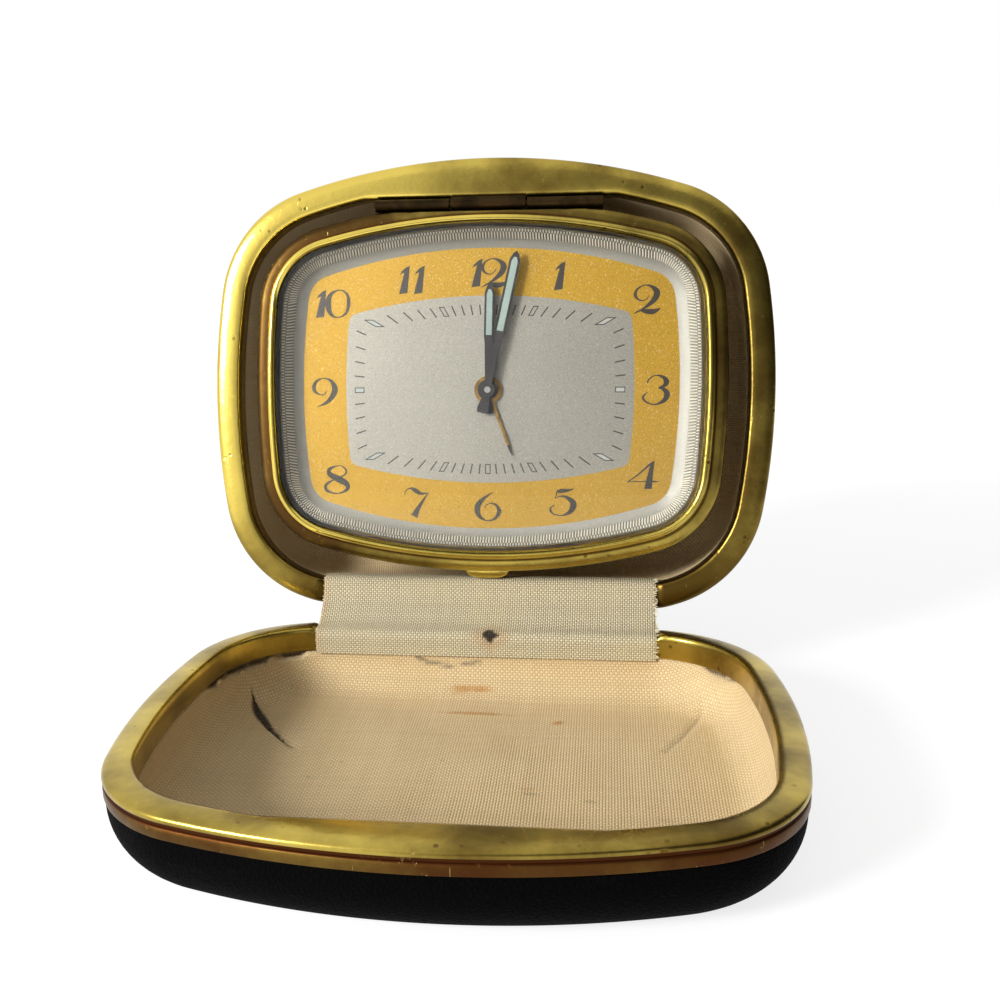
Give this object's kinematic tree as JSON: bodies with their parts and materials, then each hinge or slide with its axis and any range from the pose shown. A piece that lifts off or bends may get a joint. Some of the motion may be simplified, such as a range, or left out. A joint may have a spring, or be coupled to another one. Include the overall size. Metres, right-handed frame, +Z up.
{
  "type": "folding travel alarm clock",
  "caption": "Folding travel alarm clock: black leatherette clamshell case with brass rims and cloth lining, clock head hinged in the upright half.",
  "frame": {"origin": "centre of the flat bottom of the lower case half, on the surface it stands on", "axes": "+Z up, the clock faces -Y, +X to the viewer's right"},
  "size_m": [0.09, 0.1066, 0.0854],
  "materials": {
    "rim_brass": "polished, worn",
    "leatherette": "grained, matte",
    "shell_steel": "plain",
    "shell_aluminium": "plain",
    "lining_cloth": "woven",
    "strap_cloth": "coarse woven",
    "hinge_steel": "tarnished",
    "bezel_brass": "polished",
    "crystal": "clear",
    "reflector_silver": "fluted",
    "dial": "grained",
    "can_aluminium": "satin",
    "movement_brass": "satin",
    "movement_steel": "satin",
    "key_brass": "polished",
    "knob_brass": "knurled",
    "hand_dark": "dark lacquer",
    "alarm_hand_brass": "polished"
  },
  "bodies": {
    "lower_case": {"lower_cover": "leatherette", "lower_shell": "shell_steel", "lower_rim": "rim_brass", "lower_lining_pad": "lining_cloth", "lower_lining_wall": "lining_cloth", "lower_hinge_leaf": "hinge_steel", "lower_hinge_rivets": "hinge_steel", "hinge_pin": "hinge_steel", "hinge_strap": "strap_cloth"},
    "upper_case": {"upper_cover": "leatherette", "upper_shell": "shell_aluminium", "upper_rim": "rim_brass", "upper_lining_pad": "lining_cloth", "upper_lining_wall": "lining_cloth", "upper_hinge_leaf": "hinge_steel", "upper_hinge_rivets": "hinge_steel", "clock_hinge_bracket": "bezel_brass", "clock_hinge_pin": "movement_steel"},
    "clock_head": {"bezel": "bezel_brass", "crystal": "crystal", "reflector_ring": "reflector_silver", "dial": "dial", "pull_tab": "bezel_brass", "clock_can": "can_aluminium", "back_cover": "can_aluminium", "clock_hinge_leaf": "bezel_brass", "front_plate": "movement_brass", "back_plate": "movement_brass", "plate_pillars": "movement_brass", "plate_nuts": "movement_steel", "clock_screws": "movement_steel", "hairspring": "movement_steel"},
    "minute_work": {"centre_arbor": "movement_steel", "minute_hand": "hand_dark", "time_setting_knob": "knob_brass"},
    "minute_wheel_work": {"minute_wheel": "movement_brass"},
    "hour_work": {"hour_wheel": "movement_brass", "hour_hand": "hand_dark"},
    "alarm_dial_work": {"alarm_wheel": "movement_brass", "alarm_hand": "alarm_hand_brass"},
    "alarm_setter": {"alarm_setting_arbor": "movement_steel", "alarm_setting_knob": "knob_brass"},
    "time_drum": {"time_barrel": "movement_brass", "time_mainspring": "movement_steel"},
    "time_winder": {"time_winding_arbor": "movement_steel", "time_key": "key_brass"},
    "centre_wheel_work": {"centre_wheel": "movement_brass"},
    "third_wheel_work": {"third_wheel": "movement_brass"},
    "fourth_wheel_work": {"fourth_wheel": "movement_brass"},
    "escape_wheel_work": {"escape_wheel": "movement_brass"},
    "pallets": {"pallet_lever": "movement_steel"},
    "balance": {"balance_wheel": "movement_brass"},
    "regulator_work": {"regulator": "movement_steel"},
    "alarm_drum": {"alarm_barrel": "movement_brass", "alarm_mainspring": "movement_steel"},
    "alarm_winder": {"alarm_winding_arbor": "movement_steel", "alarm_key": "key_brass"},
    "alarm_escape_work": {"alarm_escape_wheel": "movement_brass"},
    "hammer": {"alarm_hammer": "movement_steel"},
    "stop_plunger": {"alarm_stop": "knob_brass"}
  },
  "joints": [
    {"name": "case_hinge", "type": "hinge", "parent": "lower_case", "child": "upper_case", "pos_m": [0, 0.0355, 0.01365], "axis": [1, 0, 0], "range_deg": [0, 100.43], "deforming": ["hinge_strap"]},
    {"name": "clock_swing", "type": "hinge", "parent": "upper_case", "child": "clock_head", "pos_m": [0, 0.04695, 0.07835], "axis": [1, 0, 0], "range_deg": [-100, 0]},
    {"name": "minute_turn", "type": "hinge", "parent": "clock_head", "child": "minute_work", "pos_m": [0, 0.04233, 0.04991], "axis": [0, 0.9835, -0.181], "continuous": true},
    {"name": "minute_wheel_turn", "type": "hinge", "parent": "clock_head", "child": "minute_wheel_work", "pos_m": [-0.00205, 0.04131, 0.04437], "axis": [0, 0.9835, -0.181], "continuous": true},
    {"name": "hour_turn", "type": "hinge", "parent": "clock_head", "child": "hour_work", "pos_m": [0, 0.04233, 0.04991], "axis": [0, 0.9835, -0.181], "continuous": true},
    {"name": "alarm_hand_turn", "type": "hinge", "parent": "clock_head", "child": "alarm_dial_work", "pos_m": [0, 0.04233, 0.04991], "axis": [0, 0.9835, -0.181], "continuous": true},
    {"name": "alarm_setting_turn", "type": "hinge", "parent": "clock_head", "child": "alarm_setter", "pos_m": [0.00987, 0.04298, 0.05344], "axis": [0, 0.9835, -0.181], "continuous": true},
    {"name": "fourth_wheel_turn", "type": "hinge", "parent": "clock_head", "child": "fourth_wheel_work", "pos_m": [-0.01056, 0.04386, 0.05823], "axis": [0, 0.9835, -0.181], "continuous": true},
    {"name": "third_wheel_turn", "type": "hinge", "parent": "clock_head", "child": "third_wheel_work", "pos_m": [-0.00308, 0.04386, 0.05823], "axis": [0, 0.9835, -0.181], "continuous": true},
    {"name": "centre_wheel_turn", "type": "hinge", "parent": "clock_head", "child": "centre_wheel_work", "pos_m": [0, 0.04233, 0.04991], "axis": [0, 0.9835, -0.181], "continuous": true},
    {"name": "time_barrel_turn", "type": "hinge", "parent": "clock_head", "child": "time_drum", "pos_m": [-0.00817, 0.04085, 0.04188], "axis": [0, 0.9835, -0.181], "continuous": true},
    {"name": "escape_wheel_turn", "type": "hinge", "parent": "clock_head", "child": "escape_wheel_work", "pos_m": [-0.01679, 0.04451, 0.06177], "axis": [0, 0.9835, -0.181], "continuous": true},
    {"name": "pallet_rock", "type": "hinge", "parent": "clock_head", "child": "pallets", "pos_m": [-0.01896, 0.04361, 0.0569], "axis": [0, 0.9835, -0.181], "range_deg": [-8, 8]},
    {"name": "balance_swing", "type": "hinge", "parent": "clock_head", "child": "balance", "pos_m": [-0.0225, 0.04215, 0.04893], "axis": [0, 0.9835, -0.181], "range_deg": [-150, 150], "stiffness_Nm_per_rad": 0.000007, "deforming": ["hairspring"]},
    {"name": "regulator_turn", "type": "hinge", "parent": "clock_head", "child": "regulator_work", "pos_m": [-0.0225, 0.04215, 0.04893], "axis": [0, 0.9835, -0.181], "range_deg": [-20, 20]},
    {"name": "time_winding", "type": "hinge", "parent": "clock_head", "child": "time_winder", "pos_m": [-0.00817, 0.04085, 0.04188], "axis": [0, 0.9835, -0.181], "continuous": true, "deforming": ["time_mainspring"]},
    {"name": "alarm_winding", "type": "hinge", "parent": "clock_head", "child": "alarm_winder", "pos_m": [0.0115, 0.04079, 0.04155], "axis": [0, 0.9835, -0.181], "continuous": true, "deforming": ["alarm_mainspring"]},
    {"name": "alarm_barrel_turn", "type": "hinge", "parent": "clock_head", "child": "alarm_drum", "pos_m": [0.0115, 0.04079, 0.04155], "axis": [0, 0.9835, -0.181], "continuous": true},
    {"name": "alarm_escape_turn", "type": "hinge", "parent": "clock_head", "child": "alarm_escape_work", "pos_m": [0.01954, 0.04201, 0.04819], "axis": [0, 0.9835, -0.181], "continuous": true},
    {"name": "hammer_rock", "type": "hinge", "parent": "clock_head", "child": "hammer", "pos_m": [0.02224, 0.04286, 0.05279], "axis": [0, 0.9835, -0.181], "range_deg": [-6, 6]},
    {"name": "alarm_stop_pull", "type": "slide", "parent": "clock_head", "child": "stop_plunger", "axis": [0, 0.9835, -0.181], "range_m": [0, 0.0015]}
  ],
  "couplings": [
    {"joint": "minute_wheel_turn", "follows": "minute_turn", "ratio": -0.33333},
    {"joint": "hour_turn", "follows": "minute_turn", "ratio": 0.083333},
    {"joint": "alarm_setting_turn", "follows": "alarm_hand_turn", "ratio": -6},
    {"joint": "third_wheel_turn", "follows": "fourth_wheel_turn", "ratio": -0.13333},
    {"joint": "centre_wheel_turn", "follows": "fourth_wheel_turn", "ratio": 0.016667},
    {"joint": "time_barrel_turn", "follows": "fourth_wheel_turn", "ratio": -0.0027778},
    {"joint": "escape_wheel_turn", "follows": "fourth_wheel_turn", "ratio": -8},
    {"joint": "alarm_escape_turn", "follows": "alarm_barrel_turn", "ratio": -6}
  ]
}
